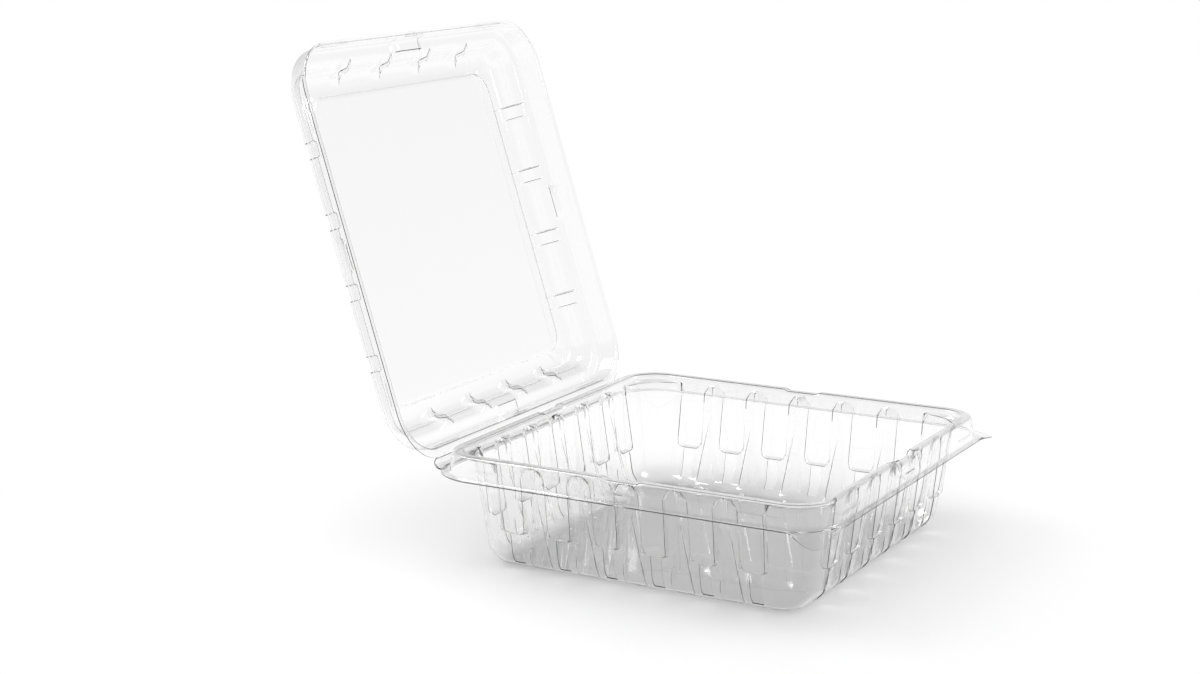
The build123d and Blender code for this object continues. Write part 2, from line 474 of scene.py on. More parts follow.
    def lip_point(self, column: Column, row: Row, along: float) -> Vector:
        """Position on the flat lip, which runs out to the bead on the hinge's side.

        Args:
            column: The column.
            row: The row, whose inset is the share of the way to the trimmed edge.
            along: Distance along the side.

        Returns:
            Position in millimetres.
        """
        foot = self.foot_inset(self.foot_bend[-1][0])
        inner = self.plan_point(column, along, foot, self.plan.corner - foot)
        outer = self.plan_point(column, along, *self.trim(column, inner))
        limit = self.plan.half_x + self.lip_reach
        share = smooth(-outer.x, self.plan.half_x - self.hinge_run, limit)
        outer.x += share * (self.hinge_x + self.bead + limit)
        spot = inner.lerp(outer, row.inset)
        return Vector((spot.x, spot.y, row.level))

    def formed(self) -> bmesh.types.BMesh:
        """Form the sheet: a grid takes the columns and rows, and its middle is closed.

        Returns:
            The sheet's top surface, in millimetres.
        """
        columns, rows = self.columns(), self.rows()
        count, depth = len(columns), len(rows)
        bm = bmesh.new()
        bmesh.ops.create_grid(bm, x_segments=count, y_segments=depth - 1, size=0.5)
        bm.verts.ensure_lookup_table()
        by_row = sorted(bm.verts, key=lambda v: (round(v.co.y, 5), v.co.x))
        holes = []
        for face in bm.faces:
            middle = face.calc_center_median()
            at, row = int((middle.x + 0.5) * count), int((middle.y + 0.5) * (depth - 1))
            if self.cut_away(columns[at], columns[(at + 1) % count], rows[row], rows[row + 1]):
                holes.append(face)
        for number, vert in enumerate(by_row):
            row, column = divmod(number, count + 1)
            vert.co = self.place(columns[column % count], rows[row])
        bmesh.ops.delete(bm, geom=holes, context="FACES")
        bmesh.ops.remove_doubles(bm, verts=bm.verts[:], dist=WELD)
        ring = {v for v in by_row[: count + 1] if v.is_valid}
        inner = [e for e in bm.edges if e.is_boundary and all(v in ring for v in e.verts)]
        bmesh.ops.contextual_create(bm, geom=inner)
        loose = [v for v in bm.verts if not v.link_faces]
        bmesh.ops.delete(bm, geom=loose, context="VERTS")
        return bm

    def by_hinge(self, spot: Vector) -> bool:
        """Tell whether a point lies on the edge that the bead is rolled from."""
        away = max(abs(spot.x - self.hinge_x), abs(spot.z - self.hinge_z)) - self.bead_slack
        return away < self.bead and abs(spot.y) <= self.bead_half + self.bead_end_slack

    def roll_bead(self, bm: bmesh.types.BMesh) -> None:
        """Roll the lip's hinge edge round the hinge's axis, down below 0 and up above it.

        Args:
            bm: The sheet's top surface, in millimetres.
        """
        edges = [e for e in bm.edges if e.is_boundary and all(self.by_hinge(v.co) for v in e.verts)]
        bmesh.ops.spin(
            bm,
            geom=edges,
            cent=(self.hinge_x, 0, self.hinge_z),
            axis=(0, -1, 0),
            angle=math.radians(self.bead_turn),
            steps=self.bead_steps,
            use_merge=False,
        )

    def finish_shell(
        self, bm: bmesh.types.BMesh, name: str, turn: Matrix | None = None
    ) -> bpy.types.Object:
        """Give the sheet its thickness on its underside and make it an object.

        Args:
            bm: The sheet's top surface, in millimetres.
            name: Name of the piece.
            turn: Transform in millimetres to its place, or none.

        Returns:
            The finished object.
        """
        bmesh.ops.recalc_face_normals(bm, faces=bm.faces[:])
        bm.normal_update()
        widest = max(bm.faces, key=lambda f: f.calc_area())
        if widest.normal.z < 0:
            bmesh.ops.reverse_faces(bm, faces=bm.faces[:])
        bmesh.ops.solidify(bm, geom=bm.faces[:], thickness=self.sheet)
        if turn is not None:
            bmesh.ops.transform(bm, matrix=turn, verts=bm.verts[:])
        bmesh.ops.scale(bm, vec=(MM, MM, MM), verts=bm.verts[:])
        for face in bm.faces:
            face.smooth = True
        mesh = bpy.data.meshes.new(name)
        bm.to_mesh(mesh)
        bm.free()
        mesh.set_sharp_from_angle(angle=math.radians(self.sharp_angle))
        return add_object(name, mesh)


@dataclass
class Tray(FormedSheet):
    """Deep ribbed half, formed into a female mould, with punched vents."""

    # Tub: the wall leans in by its draft and rounds into the flat floor. The angles place the
    # rows on that round, below and above the row at the vents' lower edge.
    wall_inset: float = 5.6
    wall_draft: float = 9.0
    wall_sum: float = 27.6
    floor_bend: float = 10.5
    floor_rings: Shares = (0.94, 0.98)
    low_angles: Shares = (90, 79, 67, 55)
    high_angles: Shares = (31, 20)

    # Bosses: hollow ribs that stand in from the wall and end in a round foot over the vents.
    ledge: float = 5.0
    ribs: int = 6
    rib_margin: float = 22.4
    boss_half: float = 6.0
    boss_edge: float = 0.3
    boss_fill: Shares = (4.2, 5.1)
    boss_bottom: float = 18.4
    boss_draft: float = 6.2
    boss_round: float = 2.5
    boss_levels: Shares = (24.0, 28.0, 32.0, 36.0, 39.0, 41.0, 43.0, 44.6)
    shelf_half: float = 0.3

    # Flutes: V grooves between the bosses that widen towards the floor. The steps place their
    # edges' columns, and the shares say how deep each column from boss to flute lies.
    flute_top: float = 41.0
    flute_foot: float = 5.8
    flute_head: float = 0.4
    flute_depth: float = 3.0
    flute_least: float = 1.0
    flute_margin: float = 0.5
    flute_nudge: float = 0.05
    flute_steps: Shares = (0.4, 0.1, -0.3, -0.7)
    flute_shares: Shares = (0.0, 0.0, 0.2, 0.75, 1.0, 1.0, 1.0)

    # Vents: slots punched through the wall under the bosses.
    vent_half: float = 2.6
    vent_bottom: float = 3.4
    vent_top: float = 17.6
    vent_levels: Shares = (11.5, 14.5)

    # Band: plain wall over the bosses, whose lower edge bends down beside each of them.
    band: float = 49.7
    band_half: float = 0.35
    band_top: float = 51.4
    shoulder: float = 4.0
    band_bend: Pairs = ((0.0, 50.6), (0.02, 51.4), (-0.25, 52.0), (-0.75, 52.4), (-1.3, 52.5))

    rim_bend: Pairs = ((2.5, 52.5), (1.35, 52.5), (0.75, 52.35), (0.3, 51.95), (0.1, 51.35))
    skirt_levels: Shares = (50.3, 49.0, 47.7, 47.0, 46.5, 46.0, 45.3, 44.3)
    foot_bend: Pairs = ((0.08, 43.5), (-0.12, 42.95), (-0.55, 42.7))
    lip_shares: Shares = (0.12, 0.28, 0.5, 0.75, 1.0)

    # Pull tabs: the lip's two corners at the opening side, bent down along a line across each.
    tab_fold: float = 7.75
    fold_start: float = -1.0
    fold_end: float = 1.2
    near_tab_corner: float = 9.0
    near_tab_angle: float = 62.0
    far_tab_corner: float = 2.5
    far_tab_angle: float = 14.0

    def pitch(self, side: int) -> float:
        """Rib spacing along a side."""
        return (2 * self.plan.half(side + 1) - 2 * self.rib_margin) / self.ribs

    def side_end(self, side: int) -> float:
        """Distance along a side where its corners' columns start."""
        return (self.ribs - 1) / 2 * self.pitch(side) + self.boss_half + self.boss_edge

    def foot_levels(self) -> tuple[float, float]:
        """Levels at which the skirt ends and the lip lies."""
        return self.rim - self.skirt, self.rim - self.skirt + self.sheet

    def boss_offsets(self) -> Shares:
        """Offsets of a boss's columns from its middle: the vent's edges, its own, and between."""
        half, edge, vent = self.boss_half, self.boss_edge, self.vent_half
        return mirrored((0.0, vent / 2, vent, *self.boss_fill, half - edge, half, half + edge))

    def columns(self) -> list[Column]:
        """List the columns: bosses, the panels between them and the corners.

        Returns:
            The columns, once round.
        """
        made = []
        last = len(self.flute_shares) - 1
        for side in range(4):
            pitch = self.pitch(side)
            for rib in range(self.ribs):
                centre = (rib - (self.ribs - 1) / 2) * pitch
                for offset in self.boss_offsets():
                    made.append(Column(side, Spot.BOSS, centre + offset, offset))
                if rib == self.ribs - 1:
                    continue
                flute = centre + pitch / 2
                made += [Column(side, Spot.PANEL, flute, -1.0, i) for i in range(last + 1)]
                made += [Column(side, Spot.PANEL, flute, 1.0, i) for i in reversed(range(last))]
            made += self.corner_list(side)
        return made

    def rows(self) -> list[Row]:
        """List the rows from the floor to the lip's edge."""
        return [*self.tub_rows(), *self.boss_rows(), *self.rim_rows()]

    def tub_rows(self) -> list[Row]:
        """List the rows of the floor, its bend and the wall beside the vents.

        Returns:
            The rows, from the floor up.
        """
        bend, low = self.floor_bend - self.sheet, self.sheet
        wall = self.wall_at(low + bend) + bend / math.cos(math.radians(self.wall_draft))
        made = [Row(wall, low, self.wall_sum, Zone.FLOOR, ring) for ring in self.floor_rings]
        vent_angle = math.degrees(math.asin(1 - (self.vent_bottom - low) / bend))
        for angle in (*self.low_angles, vent_angle, *self.high_angles, self.wall_draft):
            a = math.radians(angle)
            level = low + bend * (1 - math.sin(a))
            made.append(Row(wall - bend * math.cos(a), level, self.wall_sum, Zone.WALL))
        levels = (*self.vent_levels, self.vent_top)
        return made + [Row(0, z, self.wall_sum, Zone.WALL) for z in levels]

    def boss_rows(self) -> list[Row]:
        """List the rows of the bosses' feet, the bosses and the band over them.

        Returns:
            The rows, from the vents up.
        """
        return [
            *self.step_rows(self.boss_bottom, self.shelf_half, Zone.SHELF),
            *(Row(0, z, self.wall_sum, Zone.BOSS) for z in self.boss_levels),
            *self.step_rows(self.band, self.band_half, Zone.BAND_FOOT),
            *(Row(inset, z, self.plan.corner, Zone.BAND) for inset, z in self.band_bend),
        ]

    def step_rows(self, level: float, half: float, zone: Zone) -> list[Row]:
        """List the three rows of a step in the wall, round a level."""
        return [Row(s, level + half * (2 * s - 1), self.wall_sum, zone) for s in STEP]

    def wall_at(self, level: float) -> float:
        """Inset of the wall's inner face at a level."""
        return self.wall_inset + self.sheet + (self.rim - level) * lean(self.wall_draft)

    def boss_at(self, level: float) -> float:
        """Inset of the bosses' inner face at a level."""
        return self.ledge + self.sheet + (self.rim - level) * lean(self.boss_draft)

    def flute_offset(self, column: Column, level: float) -> float:
        """Distance of a panel's column from its flute's middle.

        Args:
            column: Column of a panel between two bosses.
            level: Height.

        Returns:
            Distance, growing towards the boss on its side.
        """
        edge = self.pitch(column.side) / 2 - self.boss_half - self.boss_edge
        share = max(0.0, 1 - level / self.flute_top)
        width = self.flute_head + (self.flute_foot - self.flute_head) * share
        width = max(self.flute_least, min(width, edge - self.flute_margin))
        steps = [width + s for s in self.flute_steps]
        beside = (edge + steps[0]) / 2 + self.flute_nudge
        return (beside, *steps, steps[-1] / 2, 0.0)[column.order]

    def flute_share(self, column: Column) -> float:
        """How far a column lies inside its flute, from 0 to 1."""
        return self.flute_shares[column.order] if column.spot is Spot.PANEL else 0.0

    def boss_share(self, column: Column) -> float:
        """How far a column lies on its boss, from 0 to 1.

        Args:
            column: The column.

        Returns:
            The share, 0 off a boss.
        """
        if column.spot is not Spot.BOSS:
            return 0.0
        low, high = self.boss_half - self.boss_edge, self.boss_half + self.boss_edge
        return 1 - smooth(abs(column.offset), low, high)

    def rounding(self, distance: float, radius: float) -> float:
        """Height that a rounded corner takes at a distance from the side it turns into."""
        inside = max(0.0, radius - max(0.0, distance))
        return radius - math.sqrt(max(0.0, radius * radius - inside * inside))

    def shoulder_drop(self, column: Column) -> float:
        """How far the band's lower edge bends down beside the bosses.

        Args:
            column: The column.

        Returns:
            Distance down.
        """
        if column.spot is Spot.PANEL:
            half = self.pitch(column.side) / 2 - self.boss_half
            return self.rounding(half - self.flute_offset(column, self.band), self.shoulder)
        return self.shoulder if column.spot is Spot.BOSS else 0.0

    def place(self, column: Column, row: Row) -> Vector:
        """Position of the sheet at a column and a row.

        Args:
            column: The column.
            row: The row.

        Returns:
            Position in millimetres.
        """
        level = row.level
        if row.zone is Zone.SHELF and column.spot is Spot.BOSS:
            level += self.rounding(self.boss_half - abs(column.offset), self.boss_round)
        elif row.zone is Zone.SHELF and column.spot is Spot.PANEL:
            level += self.boss_round
        if row.zone is Zone.BAND_FOOT:
            level -= self.shoulder_drop(column)
        along = column.along
        if column.spot is Spot.PANEL:
            along += column.offset * self.flute_offset(column, level)
        if row.zone is Zone.LIP:
            return self.folded(self.lip_point(column, row, along))
        if row.zone in (Zone.BAND, Zone.LEDGE, Zone.SKIRT):
            return self.rim_point(column, row, along)
        inset = self.tub_inset(column, row, level)
        total = row.centre_sum
        if row.zone is Zone.BAND_FOOT:
            total += row.inset * (self.plan.corner - total)
        spot = self.plan_point(column, along, inset, total - inset) * row.scale
        return Vector((spot.x, spot.y, level))

    def tub_inset(self, column: Column, row: Row, level: float) -> float:
        """Inset of the tub's inner face, with its flutes and bosses.

        Args:
            column: The column.
            row: The row.
            level: Height.

        Returns:
            Distance in from the ledge's edge.
        """
        set_in = row.zone in (Zone.FLOOR, Zone.WALL) and row.inset
        inset = row.inset if set_in else self.wall_at(level)
        if row.zone is not Zone.FLOOR:
            deep = self.wall_at(0) + self.flute_depth
            top = self.wall_at(self.flute_top)
            groove = top + (deep - top) * max(0.0, 1 - level / self.flute_top)
            inset += self.flute_share(column) * max(0.0, groove - inset)
        across = {Zone.SHELF: row.inset, Zone.BOSS: 1.0, Zone.BAND_FOOT: 1.0}
        share = across.get(row.zone, 0.0) * self.boss_share(column)
        if row.zone is Zone.BAND_FOOT:
            share = max(share, row.inset)
        return inset + share * (self.boss_at(level) - inset)

    def rim_point(self, column: Column, row: Row, along: float) -> Vector:
        """Position of the band, ledge or skirt at a column and a row.

        Args:
            column: The column.
            row: The row.
            along: Distance along the side.

        Returns:
            Position in millimetres.
        """
        if row.zone is Zone.SKIRT:
            spot = self.on_skirt(column, row, along)
        else:
            inset = row.inset
            if row.zone is Zone.BAND:
                inset += self.boss_at(min(row.level, self.band_top))
            spot = self.plan_point(column, along, inset, row.centre_sum - inset)
        return Vector((spot.x, spot.y, row.level - self.recess(column, along, row.level)))

    def trim(self, column: Column, inner: Vector) -> tuple[float, float]:
        """Inset and corner radius of the lip's edge, which is blunt at the two pull tabs.

        Args:
            column: The column.
            inner: The skirt's foot there, which the tray doesn't use.

        Returns:
            Inset and radius.
        """
        hinge = self.hinge_corner
        radii = (self.far_tab_corner, hinge, hinge, self.near_tab_corner)
        return -self.lip_reach, radii[column.side]

    def folded(self, spot: Vector) -> Vector:
        """Turn a point of the lip down where it lies on one of the two pull tabs.

        Args:
            spot: The point, in millimetres.

        Returns:
            The point, moved where a tab bends.
        """
        back = self.lip_reach - self.tab_fold
        start = self.fold_start
        for end, angle in ((-1, self.near_tab_angle), (1, self.far_tab_angle)):
            out = Vector((1, end)).normalized()
            fold = Vector((self.plan.half_x + back, end * (self.plan.half_y + back)))
            beyond = (spot.xy - fold).dot(out)
            if beyond <= start:
                continue
            length = beyond - start
            share = smooth(beyond, start, self.fold_end) + smooth(beyond / 2, start, self.fold_end)
            tilt = math.radians(angle) * share / 2
            moved = spot.xy + out * (length * math.cos(tilt) - length)
            spot = Vector((moved.x, moved.y, spot.z - length * math.sin(tilt)))
        return spot

    def cut_away(self, low: Column, high: Column, row: Row, following: Row) -> bool:
        """Tell whether a cell lies in a vent.

        Args:
            low: Column at the cell's start.
            high: Column at its end.
            row: Row at its inner side.
            following: Row at its outer side.

        Returns:
            Whether the cell is punched out.
        """
        if low.spot is not Spot.BOSS or high.spot is not Spot.BOSS or low.side != high.side:
            return False
        inside = max(abs(low.offset), abs(high.offset)) <= self.vent_half
        middle = (row.level + following.level) / 2
        return inside and row.zone is Zone.WALL and self.vent_bottom < middle < self.vent_top

    def build(self) -> bpy.types.Object:
        """Build the tray's sheet and the outer half of its hinge bead.

        Returns:
            The tray, at its place.
        """
        bm = self.formed()
        self.roll_bead(bm)
        return self.finish_shell(bm, "tray_sheet_form")


@dataclass
class Lid(FormedSheet):
    """Shallow half with a notched dome and a sunk panel, modelled shut and swung open."""

    corner_columns: int = 28
    open_angle: float = 108.0

    # Panel: flat top that a small step sinks below the dome's.
    panel_inset: float = 19.5
    panel_sink: float = 0.9
    panel_sum: float = 30.5
    panel_run: float = 0.7
    panel_ease: float = 0.12
    panel_rings: Shares = (0.94, 0.98, 1.0)

    # Dome: a steep wall over a slope, rounded into its flat top. Pairs of a distance in from the
    # slope's head and a height over the ledge give the slope and its foot.
    ledge_top: float = 53.25
    dome_inset: float = 5.0
    chamfer: float = 3.0
    dome_rise: float = 9.8
    dome_draft: float = 12.0
    dome_bend: float = 4.6
    dome_angles: Shares = (90, 74, 58, 42, 27)
    dome_margin: float = 2.2
    dome_margin_sum: float = 4.0
    slope: Pairs = (
        *((0.25, 4.3), (0.1, 3.5), (-0.2, 2.85), (-1.2, 1.8)),
        *((-2.3, 0.7), (-2.75, 0.25), (-3.3, 0.04), (-4.2, 0.0)),
    )

    # Notches: four a side, pressed into the dome. On the opening and hinge sides one end fades.
    notch_pitch: float = 33.0
    notch_depth: float = 1.9
    notch_start: float = 3.8
    notch_run: float = 0.6
    notch_edge: tuple[float, float] = (2.95, 3.65)
    notch_fade: tuple[float, float] = (-5.2, -1.6)
    notch_offsets: Shares = mirrored((0.0, 2.0, 2.95, 3.15, 3.3, 3.45, 3.65, 4.6))
    middle_columns: Shares = (0, 4, 7.3, 8.1, 9.1, 10.2, 11.1)
    between_columns: Shares = (25.5, 30.0, 33.0, 36.0, 40.5)
    corner_margin: float = 35.0

    skirt_gap: float = 0.75
    rim_bend: Pairs = ((2.2, 53.25), (0.9, 53.25), (0.25, 53.1), (-0.25, 52.75), (-0.55, 52.2))
    skirt_levels: Shares = (51.2, 49.8, 48.4, 47.7, 47.0, 46.5, 46.0, 45.3, 44.7)
    foot_bend: Pairs = ((0.1, 44.15), (-0.1, 43.7), (-0.4, 43.47))
    latch: tuple[float, float] = (10.65, 2.2)
    guide: tuple[float, float] = (8.15, 0.9)
    recess_ease: tuple[float, float] = (0.9, 0.5)
    recess_foot: float = 46.5

    # Lip: it narrows to the skirt's edge before the opening side, so that the tabs stay free.
    lip_top: float = 43.45
    lip_end: float = 81.2
    lip_round: float = 2.5
    lip_shares: Shares = (0.4, 1.0)
    edge_width: float = 0.6

    bead: float = 2.59
    bead_turn: float = 190.0

    def side_end(self, side: int) -> float:
        """Distance along a side where its corners' columns start."""
        return self.plan.half(side + 1) - self.corner_margin

    def foot_levels(self) -> tuple[float, float]:
        """Levels at which the skirt ends and the lip lies."""
        return self.lip_top, self.lip_top

    def columns(self) -> list[Column]:
        """List the columns: notches, the runs between them and the corners.

        Returns:
            The columns, once round.
        """
        made = []
        for side in range(4):
            half = [Column(side, Spot.PLAIN, a) for a in self.middle_columns]
            for centre in (self.notch_pitch / 2, 1.5 * self.notch_pitch):
                for o in self.notch_offsets:
                    half.append(Column(side, Spot.BOSS, centre + o, o))
                if centre < self.notch_pitch:
                    half += [Column(side, Spot.PLAIN, a) for a in self.between_columns]
            half.append(Column(side, Spot.PLAIN, self.side_end(side)))
            other = [Column(side, c.spot, -c.along, -c.offset) for c in half[1:]]
            made += list(reversed(other)) + half
            made += self.corner_list(side)
        return made

    def rows(self) -> list[Row]:
        """List the rows from the panel to the lip's edge."""
        return [*self.panel_rows(), *self.dome_rows(), *self.rim_rows()]

    def panel_rows(self) -> list[Row]:
        """List the rows of the sunk panel and the step round it.

        Returns:
            The rows, from the inside out.
        """
        top = self.ledge_top + self.dome_rise
        sunk, run, ease = top - self.panel_sink, self.panel_run, self.panel_ease
        steps = [(run, sunk, ring) for ring in self.panel_rings]
        steps += [(run / 2, sunk + ease, 1.0), (0.0, sunk + self.panel_sink / 2, 1.0)]
        steps += [(-run / 2, top - ease, 1.0), (-run, top, 1.0)]
        inset, total = self.panel_inset, self.panel_sum
        return [Row(inset + out, z, total, Zone.PANEL, ring) for out, z, ring in steps]

    def dome_rows(self) -> list[Row]:
        """List the rows of the dome's flat top, its bend, its wall and its slope.

        Returns:
            The rows, from the top down.
        """
        corner, bend = self.plan.corner, self.dome_bend
        top = self.ledge_top + self.dome_rise
        level = top - bend
        foot = self.dome_inset + self.chamfer
        wall = foot + (level - self.ledge_top - self.chamfer) * lean(self.dome_draft)
        wall += bend / math.cos(math.radians(self.dome_draft))
        made = [Row(wall + self.dome_margin, top, corner + self.dome_margin_sum, Zone.PANEL)]
        for angle in (*self.dome_angles, self.dome_draft):
            a = math.radians(angle)
            inset = wall - bend * math.cos(a)
            made.append(Row(inset, level + bend * math.sin(a), corner, Zone.DOME))
        for out, up in self.slope:
            made.append(Row(foot + out, self.ledge_top + up, corner, Zone.DOME))
        return made

    def notch_share(self, column: Column) -> float:
        """How far a column lies in a notch, from 0 to 1: crisp at one end, eased at the other.

        Args:
            column: The column.

        Returns:
            The share, 0 outside a notch.
        """
        if column.spot is not Spot.BOSS:
            return 0.0
        offset = column.offset if column.side < 2 else -column.offset
        if offset < 0 and column.side % 2 == 0:
            return smooth(offset, *self.notch_fade)
        return 1 - smooth(abs(offset), *self.notch_edge)

    def place(self, column: Column, row: Row) -> Vector:
        """Position of the sheet at a column and a row.

        Args:
            column: The column.
            row: The row.

        Returns:
            Position in millimetres.
        """
        if row.zone is Zone.LIP:
            return self.lip_point(column, row, column.along)
        if row.zone is Zone.SKIRT:
            spot = self.on_skirt(column, row, column.along)
        else:
            inset = row.inset
            if row.zone is Zone.DOME:
                fade = clamp((inset - self.notch_start) / self.notch_run)
                inset += self.notch_depth * self.notch_share(column) * fade
            radius = row.centre_sum - inset
            spot = self.plan_point(column, column.along, inset, radius) * row.scale
        level = row.level
        beside_dome = row.zone is Zone.DOME and row.inset < self.dome_inset
        if beside_dome or row.zone in (Zone.LEDGE, Zone.SKIRT):
            level -= self.recess(column, column.along, level)
        return Vector((spot.x, spot.y, level))

    def trim(self, column: Column, inner: Vector) -> tuple[float, float]:
        """Inset and corner radius of the lip's edge, which draws in short of the opening side.

        Args:
            column: The column.
            inner: The skirt's foot there.

        Returns:
            Inset and radius.
        """
        narrow = self.skirt_at(self.lip_top - self.sheet) - self.edge_width
        short = 1 - clamp((self.lip_end - inner.x) / self.lip_round)
        share = math.sqrt(1 - short * short)
        edge = narrow + share * (-self.lip_reach - narrow)
        return edge, self.hinge_corner if column.side in (1, 2) else self.plan.corner - edge

    def build(self) -> bpy.types.Object:
        """Build the lid's sheet and the inner half of the hinge bead, and swing it open.

        Returns:
            The lid, at its place.
        """
        bm = self.formed()
        self.roll_bead(bm)
        hinge = Vector((self.hinge_x, 0, self.hinge_z))
        swing = Matrix.Rotation(math.radians(-self.open_angle), 4, "Y")
        turn = Matrix.Translation(hinge) @ swing @ Matrix.Translation(-hinge)
        return self.finish_shell(bm, "lid_sheet_form", turn)


@dataclass(frozen=True)
class ClearPet:
    """Clear PET sheet, thermoformed.

    Attributes:
        body: Colour of the light that comes through the sheet.
        shade: Colour that the sheet gives its own shadow.
        roughness: Roughness of the stock's rolled faces.
        ior: Index of refraction of PET.
        wave_mm: Length of the waves that the mould leaves in a flat face.
        wave_height_mm: Height of those waves.
        wave_strength: Share of that height that shows.
    """

    body: str = "FCFCFC"
    shade: str = "F8F8F8"
    roughness: float = 0.015
    ior: float = 1.57
    wave_mm: float = 22.0
    wave_height_mm: float = 0.05
    wave_strength: float = 0.35

    def material(self) -> bpy.types.Material:
        """Make the sheet's material.

        Returns:
            The material.
        """
        # A flat face is almost lost to the eye and keeps the stock's gloss. Bends and cut edges
        # carry thin grey lines and small white glints, and slow waves soften their reflections.
        # Light that a caustic would gather passes straight on, so that the shadow stays soft.
        made = bpy.data.materials.new("clear_pet_thermoformed")
        tree = empty_tree(made)
        place = add_node(tree, "ShaderNodeTexCoord")
        noise = add_node(
            tree, "ShaderNodeTexNoise", {"Scale": 1 / (self.wave_mm * MM), "Detail": 1.0},
            {"Vector": place.outputs["Object"]},
        )
        bump = add_node(
            tree, "ShaderNodeBump",
            {"Strength": self.wave_strength, "Distance": self.wave_height_mm * MM},
            {"Height": noise.outputs["Fac"]},
        )
        clear = add_node(
            tree, "ShaderNodeBsdfPrincipled",
            {
                "Base Color": linear(self.body),
                "Roughness": self.roughness,
                "IOR": self.ior,
                "Transmission Weight": 1.0,
            },
            {"Normal": bump.outputs[0]},
        )
        path = add_node(tree, "ShaderNodeLightPath")
        passing = add_node(tree, "ShaderNodeBsdfTransparent", {"Color": linear(self.shade)})
        mix = add_node(
            tree, "ShaderNodeMixShader", None,
            {0: path.outputs["Is Shadow Ray"], 1: clear.outputs[0], 2: passing.outputs[0]},
        )
        add_node(tree, "ShaderNodeOutputMaterial", None, {"Surface": mix.outputs[0]})
        return made


@dataclass(frozen=True)
class PaleBoard:
    """Studio board, painted matt white.

    Attributes:
        paint: Colour of the board.
        roughness: Roughness of the paint.
        near: Distance from the pack's middle, in metres, where the board turns white to the eye.
        far: Distance where it is all white.
    """

    paint: str = "FAFAFA"
    roughness: float = 0.5
    near: float = 0.15
    far: float = 0.36

    def material(self) -> bpy.types.Material:
        """Make the board's material.

        Returns:
            The material.
        """
        # Near the pack it is a soft matt white that shows the shadow. Farther out, and in the
        # sheet's gloss and through it, it runs into the white backdrop with no edge.
        made = bpy.data.materials.new("pale_floor_board")
        tree = empty_tree(made)
        board = add_node(
            tree, "ShaderNodeBsdfPrincipled",
            {"Base Color": linear(self.paint), "Roughness": self.roughness},
        )
        white = add_node(tree, "ShaderNodeEmission", {"Color": WHITE, "Strength": 1.0})
        place = add_node(tree, "ShaderNodeTexCoord")
        away = add_node(
            tree, "ShaderNodeVectorMath", {"operation": "LENGTH"}, {0: place.outputs["Object"]}
        )
        ramp = add_node(
            tree, "ShaderNodeMapRange",
            {"interpolation_type": "SMOOTHSTEP", "From Min": self.near, "From Max": self.far},
            {"Value": away.outputs["Value"]},
        )
        path = add_node(tree, "ShaderNodeLightPath")
        seen = path.outputs["Is Camera Ray"]
        for ray in ("Is Glossy Ray", "Is Transmission Ray"):
            rays = {0: seen, 1: path.outputs[ray]}
            seen = add_node(tree, "ShaderNodeMath", {"operation": "MAXIMUM"}, rays).outputs[0]
        share = add_node(
            tree, "ShaderNodeMath", {"operation": "MULTIPLY"},
            {0: seen, 1: ramp.outputs[0]},
        )
        mix = add_node(
            tree, "ShaderNodeMixShader", None,
            {0: share.outputs[0], 1: board.outputs[0], 2: white.outputs[0]},
        )
        add_node(tree, "ShaderNodeOutputMaterial", None, {"Surface": mix.outputs[0]})
        return made


@dataclass(frozen=True)
class Softbox:
    """Soft lamp that faces the pack.

    Attributes:
        name: Name of the lamp.
        place: Position in metres.
        size: Width and height in metres.
        power: Power in watts.
        aim: Height in metres of the point that it faces.
    """

    name: str
    place: tuple[float, float, float]
    size: tuple[float, float]
    power: float
    aim: float = 0.05

    def hang(self) -> None:
        """Hang the lamp at its place, turned to the pack."""
        data = bpy.data.lights.new(self.name, "AREA")
        data.shape = "RECTANGLE"
        data.size, data.size_y = self.size
        data.energy = self.power
        made = add_object(self.name, data)
        made.location = self.place
        way = Vector((0, 0, self.aim)) - Vector(self.place)
        made.rotation_euler = way.to_track_quat("-Z", "Y").to_euler()


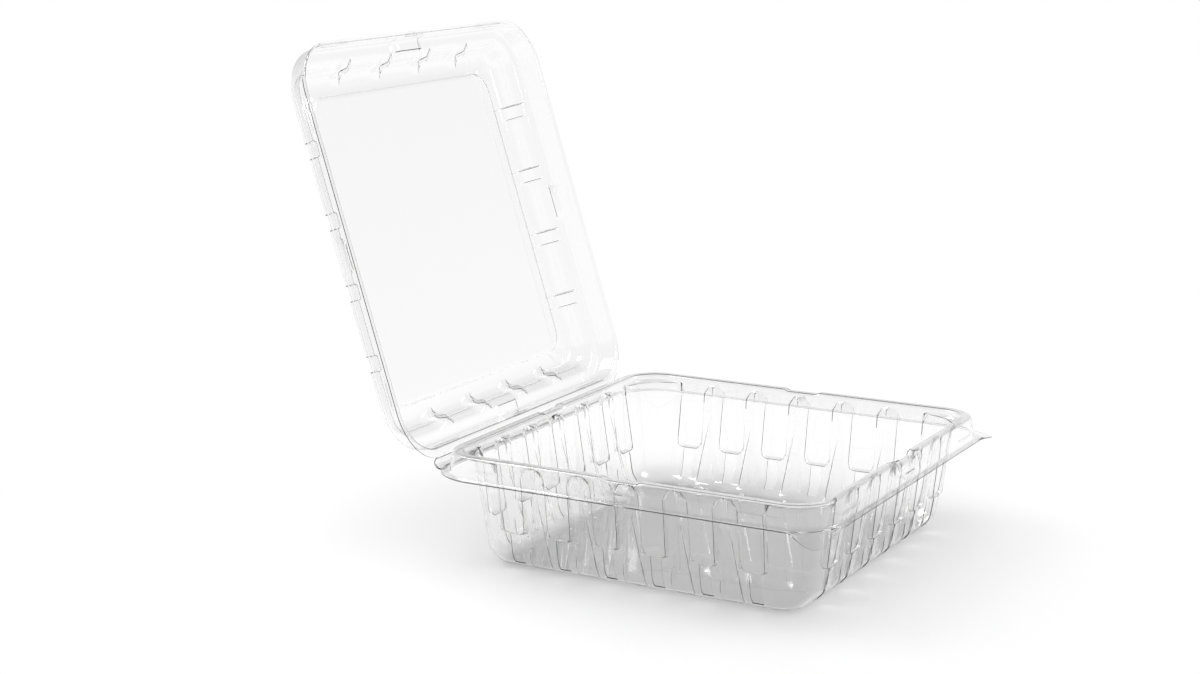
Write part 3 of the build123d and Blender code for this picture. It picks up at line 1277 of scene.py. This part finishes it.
@dataclass
class Studio:
    """Plain pale floor, soft lamps, white backdrop and the camera.

    The camera's angles, distance, shifts and lens were fitted to points of the tray and the lid.
    """

    # World: its light on matt faces, its brightness to the sheet at the horizon and overhead,
    # and the height of a ray's direction at which it has reached the second.
    lit: float = 0.6
    backdrop: float = 0.95
    ceiling: float = 0.28
    horizon: float = 0.5

    # Floor: half of its size in metres, and the gap that keeps it from the tray's underside.
    floor_half: float = 6.0
    floor_drop_mm: float = 0.1

    # Camera, in degrees and millimetres.
    azimuth: float = 29.2
    elevation: float = 12.1
    distance: float = 1046.0
    shift_right: float = -54.4
    shift_up: float = 94.3
    lens: float = 68.15

    bounces: int = 24
    softboxes: tuple[Softbox, ...] = (
        Softbox("key_softbox", (-1.05, -0.15, 1.15), (0.8, 0.8), 16.5),
        Softbox("rim_softbox", (0.9, 0.8, 0.9), (0.8, 0.5), 6.0),
    )

    def world(self) -> None:
        """Make the world: white to the camera, pale round the horizon to the sheet, grey above."""
        made = bpy.data.worlds.new("studio")
        bpy.context.scene.world = made
        tree = empty_tree(made)
        path = add_node(tree, "ShaderNodeLightPath")
        way = add_node(tree, "ShaderNodeTexCoord")
        split = add_node(tree, "ShaderNodeSeparateXYZ", None, {0: way.outputs["Generated"]})
        ramp = add_node(
            tree, "ShaderNodeMapRange",
            {
                "interpolation_type": "SMOOTHSTEP",
                "From Min": 0.0,
                "From Max": self.horizon,
                "To Min": self.backdrop,
                "To Max": self.ceiling,
            },
            {"Value": split.outputs["Z"]},
        )
        lit = add_node(tree, "ShaderNodeBackground", {"Color": WHITE, "Strength": self.lit})
        band = add_node(
            tree, "ShaderNodeBackground", {"Color": WHITE}, {"Strength": ramp.outputs[0]}
        )
        white = add_node(tree, "ShaderNodeBackground", {"Color": WHITE, "Strength": 1.0})
        sheen = add_node(
            tree, "ShaderNodeMath", {"operation": "MAXIMUM"},
            {0: path.outputs["Is Glossy Ray"], 1: path.outputs["Is Transmission Ray"]},
        )
        first = add_node(
            tree, "ShaderNodeMixShader", None,
            {0: sheen.outputs[0], 1: lit.outputs[0], 2: band.outputs[0]},
        )
        second = add_node(
            tree, "ShaderNodeMixShader", None,
            {0: path.outputs["Is Camera Ray"], 1: first.outputs[0], 2: white.outputs[0]},
        )
        add_node(tree, "ShaderNodeOutputWorld", None, {"Surface": second.outputs[0]})

    def floor(self) -> None:
        """Make the floor, which keeps the pack's shadow and turns white away from it."""
        bm = bmesh.new()
        bmesh.ops.create_grid(bm, x_segments=8, y_segments=8, size=self.floor_half)
        bmesh.ops.translate(bm, vec=(0, 0, -self.floor_drop_mm * MM), verts=bm.verts[:])
        mesh = bpy.data.meshes.new("floor")
        bm.to_mesh(mesh)
        bm.free()
        mesh.materials.append(PaleBoard().material())
        add_object("floor", mesh)

    def camera(self) -> None:
        """Set the camera at the photograph's viewing angle."""
        a, e = math.radians(self.azimuth), math.radians(self.elevation)
        back = Vector((math.sin(a) * math.cos(e), -math.cos(a) * math.cos(e), math.sin(e)))
        right = Vector((math.cos(a), math.sin(a), 0))
        up = right.cross(-back)
        data = bpy.data.cameras.new("camera")
        data.lens = self.lens
        made = add_object("camera", data)
        place = back * self.distance + right * self.shift_right + up * self.shift_up
        made.location = place * MM
        made.rotation_euler = (-back).to_track_quat("-Z", "Y").to_euler()
        bpy.context.scene.camera = made

    def build(self) -> None:
        """Set the whole studio and the render's bounces."""
        scene = bpy.context.scene
        scene.view_settings.view_transform = "Standard"
        scene.cycles.max_bounces = self.bounces
        scene.cycles.transmission_bounces = self.bounces
        scene.cycles.transparent_max_bounces = self.bounces
        scene.cycles.caustics_refractive = False
        scene.cycles.caustics_reflective = False
        self.world()
        self.floor()
        for lamp in self.softboxes:
            lamp.hang()
        self.camera()


def main() -> None:
    """Build the studio and the two sheets, and say what each rides on and replaces."""
    logging.basicConfig(level=logging.INFO, format="%(message)s")
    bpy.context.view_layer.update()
    Studio().build()
    plan = Plan()
    sheet = ClearPet().material()
    for node, piece in (("tray", Tray(plan).build()), ("lid", Lid(plan).build())):
        piece.data.materials.append(sheet)
        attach(piece, node)
        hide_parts(node)
        log.info("%s: %d faces", piece.name, len(piece.data.polygons))


if __name__ == "__main__":
    main()
